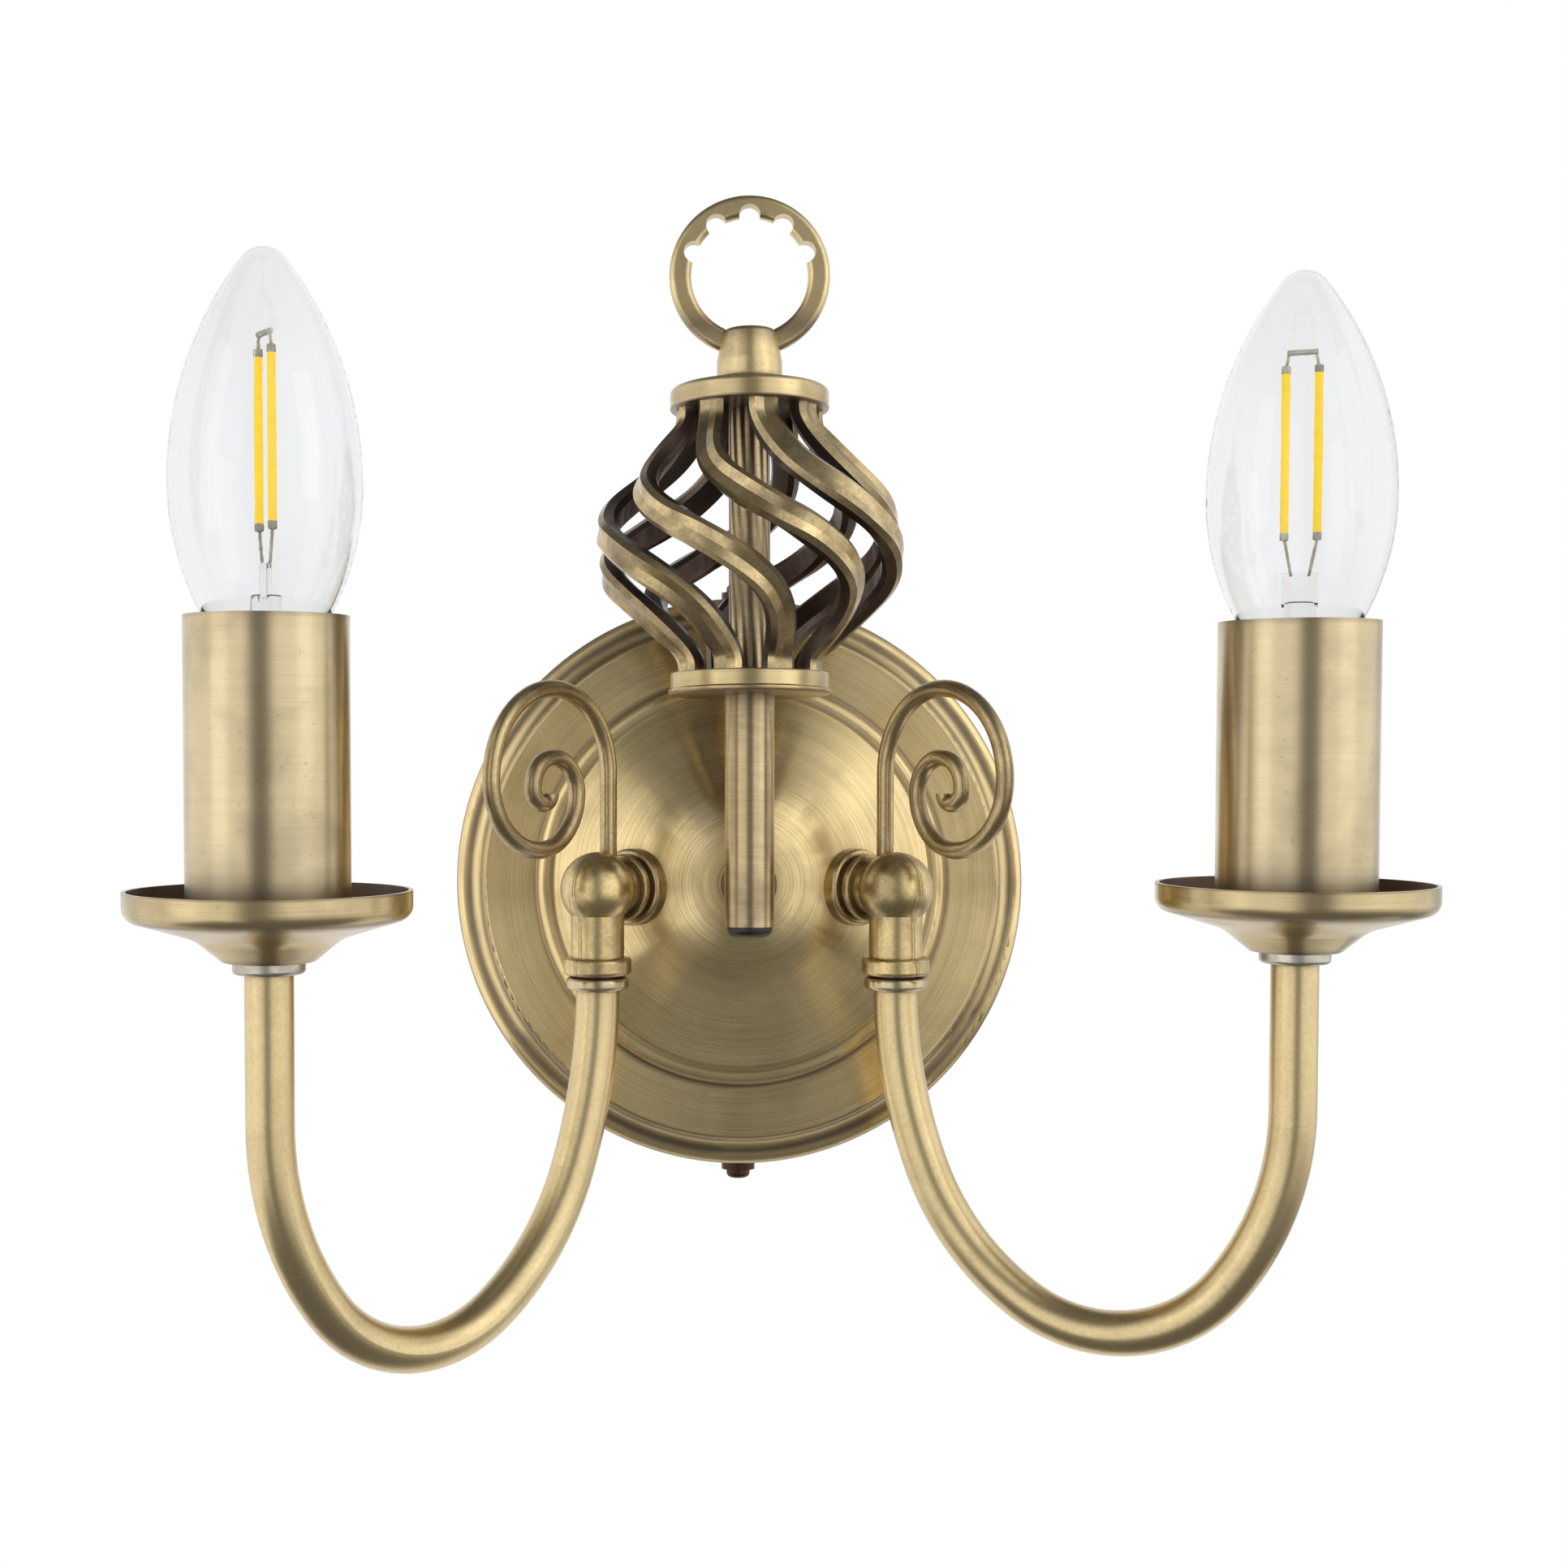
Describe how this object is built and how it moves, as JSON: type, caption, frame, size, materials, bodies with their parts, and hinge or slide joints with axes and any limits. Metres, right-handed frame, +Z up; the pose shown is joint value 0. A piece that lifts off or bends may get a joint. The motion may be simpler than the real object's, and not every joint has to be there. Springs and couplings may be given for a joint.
{
  "type": "double arm wall sconce",
  "caption": "Wall sconce with a domed round back plate, twisted cage column with ring finial, and swivelling J arms carrying candle sleeves with filament bulbs over drip pans.",
  "frame": {"origin": "centre of the back plate, on the wall plane", "axes": "+Y into the wall (the lamp faces -Y), +Z up, +X to the viewer's right"},
  "size_m": [0.245, 0.1227, 0.233],
  "materials": {
    "antique_brass": "brushed, darkened in the recesses",
    "dark_bronze": "dark patina rubbed bright on the outer faces",
    "zinc_steel": "zinc plated",
    "silver_steel": "satin nickel",
    "dark_copper": "dark copper",
    "plain_brass": "bare",
    "black_plastic": "matte",
    "pale_plastic": "matte",
    "clear_glass": "clear",
    "filament_yellow": "coated"
  },
  "bodies": {
    "wall_plate": {"back_plate": "antique_brass", "wall_bracket": "zinc_steel", "plate_screws": "dark_copper", "plate_screw_washers": "zinc_steel", "terminal_block": "pale_plastic", "terminal_screws": "zinc_steel", "earth_screw": "plain_brass", "column_spacer": "antique_brass", "column_bolt": "zinc_steel", "column_core": "zinc_steel", "column_tube": "antique_brass", "column_plug": "black_plastic", "lower_collar": "antique_brass", "upper_collar": "antique_brass", "cage_tube": "zinc_steel", "tie_rod": "zinc_steel", "finial_washer": "antique_brass", "finial": "antique_brass", "elbow_nipples": "zinc_steel", "elbow_washers": "zinc_steel", "elbow_nuts": "zinc_steel", "cage_bar_1": "dark_bronze", "cage_bar_2": "dark_bronze", "cage_bar_3": "dark_bronze", "cage_bar_4": "dark_bronze", "cage_bar_5": "dark_bronze", "cage_bar_6": "dark_bronze", "cage_bar_7": "dark_bronze", "cage_bar_8": "dark_bronze", "left_elbow": "antique_brass", "left_scroll": "antique_brass", "right_elbow": "antique_brass", "right_scroll": "antique_brass"},
    "left_arm": {"left_arm_tube": "antique_brass", "left_arm_collar": "antique_brass", "left_pan_ferrule": "silver_steel", "left_drip_pan": "antique_brass", "left_holder_nipple": "zinc_steel", "left_lampholder": "black_plastic", "left_holder_shell": "plain_brass", "left_candle_tube": "antique_brass"},
    "left_bulb_base": {"left_bulb_contact": "zinc_steel"},
    "left_bulb": {"left_bulb_cap": "silver_steel", "left_bulb_glass": "clear_glass", "left_bulb_stem": "clear_glass", "left_bulb_filaments": "filament_yellow"},
    "right_arm": {"right_arm_tube": "antique_brass", "right_arm_collar": "antique_brass", "right_pan_ferrule": "silver_steel", "right_drip_pan": "antique_brass", "right_holder_nipple": "zinc_steel", "right_lampholder": "black_plastic", "right_holder_shell": "plain_brass", "right_candle_tube": "antique_brass"},
    "right_bulb_base": {"right_bulb_contact": "zinc_steel"},
    "right_bulb": {"right_bulb_cap": "silver_steel", "right_bulb_glass": "clear_glass", "right_bulb_stem": "clear_glass", "right_bulb_filaments": "filament_yellow"}
  },
  "joints": [
    {"name": "left_arm_swivel", "type": "hinge", "parent": "wall_plate", "child": "left_arm", "pos_m": [-0.0308, -0.04242, -0.00108], "axis": [0, -0.0436, 0.999], "range_deg": [-42.5, 27.5]},
    {"name": "left_bulb_lift", "type": "slide", "parent": "left_arm", "child": "left_bulb_base", "axis": [0, -0.0436, 0.999], "range_m": [0, 0.00847]},
    {"name": "left_bulb_turn", "type": "hinge", "parent": "left_bulb_base", "child": "left_bulb", "pos_m": [-0.0897, -0.09639, -0.00005], "axis": [0, -0.0436, 0.999], "range_deg": [0, 1080]},
    {"name": "right_arm_swivel", "type": "hinge", "parent": "wall_plate", "child": "right_arm", "pos_m": [0.0308, -0.04242, -0.00108], "axis": [0, -0.0436, 0.999], "range_deg": [-44.5, 25.5]},
    {"name": "right_bulb_lift", "type": "slide", "parent": "right_arm", "child": "right_bulb_base", "axis": [0, -0.0436, 0.999], "range_m": [0, 0.00847]},
    {"name": "right_bulb_turn", "type": "hinge", "parent": "right_bulb_base", "child": "right_bulb", "pos_m": [0.1029, -0.07692, 0.0008], "axis": [0, -0.0436, 0.999], "range_deg": [0, 1080]}
  ],
  "couplings": [
    {"joint": "left_bulb_lift", "follows": "left_bulb_turn", "m_per_rad": 0.00044882},
    {"joint": "right_bulb_lift", "follows": "right_bulb_turn", "m_per_rad": 0.00044882}
  ]
}
